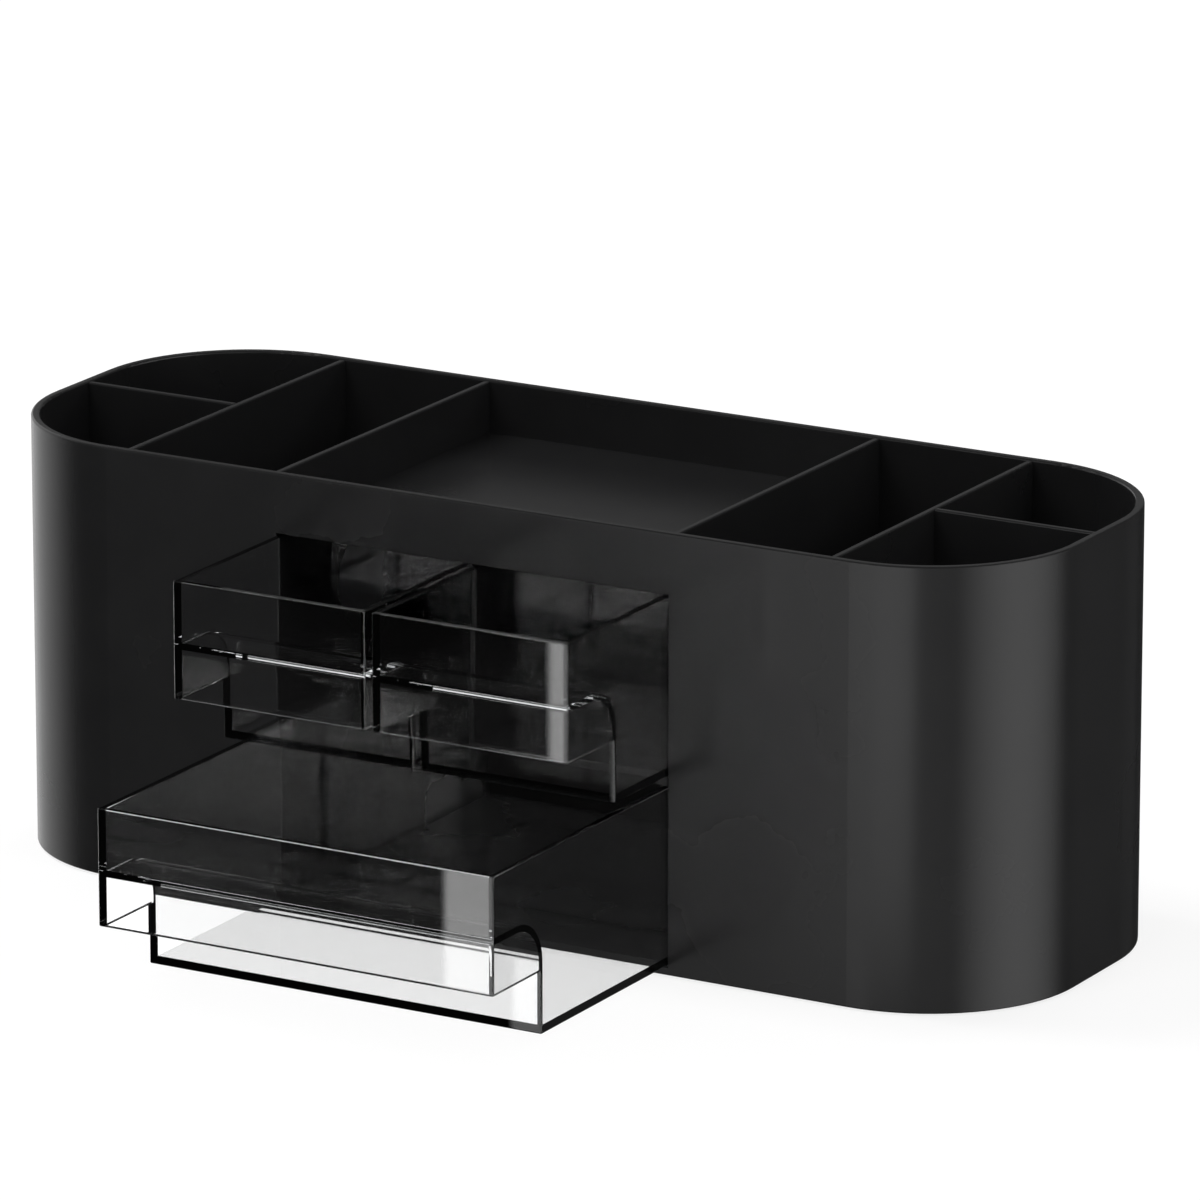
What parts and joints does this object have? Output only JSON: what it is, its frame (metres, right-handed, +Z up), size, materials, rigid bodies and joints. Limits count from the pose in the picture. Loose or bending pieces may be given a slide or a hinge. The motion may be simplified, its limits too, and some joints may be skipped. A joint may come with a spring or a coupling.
{
  "type": "desktop drawer organizer",
  "caption": "Black desk organizer with rounded ends, upright compartments, a shallow top tray and clear pull-out drawers in a central bay.",
  "frame": {"origin": "middle of the base's underside, under the centre of the tub; the pads stand 0.6 mm lower", "axes": "+X to the right along the tub's width, +Y to its back, +Z up; the drawers open towards -Y"},
  "size_m": [0.365, 0.237, 0.1406],
  "materials": {
    "tub_plastic": "fine satin moulded black",
    "clear_plastic": "polished clear",
    "pad_rubber": "matte"
  },
  "bodies": {
    "tub": {"outer_shell": "tub_plastic", "base_panel": "tub_plastic", "bay_left_wall": "tub_plastic", "bay_right_wall": "tub_plastic", "tray_deck": "tub_plastic", "mid_shelf": "tub_plastic", "drawer_partition": "tub_plastic", "left_partition": "tub_plastic", "right_partition": "tub_plastic", "left_cross_partition": "tub_plastic", "right_cross_partition": "tub_plastic", "foot_front_left": "pad_rubber", "foot_front_right": "pad_rubber", "foot_rear_left": "pad_rubber", "foot_rear_right": "pad_rubber"},
    "upper_left_drawer": {"upper_left_drawer": "clear_plastic"},
    "upper_right_drawer": {"upper_right_drawer": "clear_plastic"},
    "lower_drawer": {"lower_drawer": "clear_plastic"}
  },
  "joints": [
    {"name": "upper_left_drawer_slide", "type": "slide", "parent": "tub", "child": "upper_left_drawer", "axis": [0, -1, 0], "range_m": [-0.06, 0.05]},
    {"name": "upper_right_drawer_slide", "type": "slide", "parent": "tub", "child": "upper_right_drawer", "axis": [0, -1, 0], "range_m": [-0.06, 0.05]},
    {"name": "lower_drawer_slide", "type": "slide", "parent": "tub", "child": "lower_drawer", "axis": [0, -1, 0], "range_m": [-0.104, 0.006]}
  ]
}
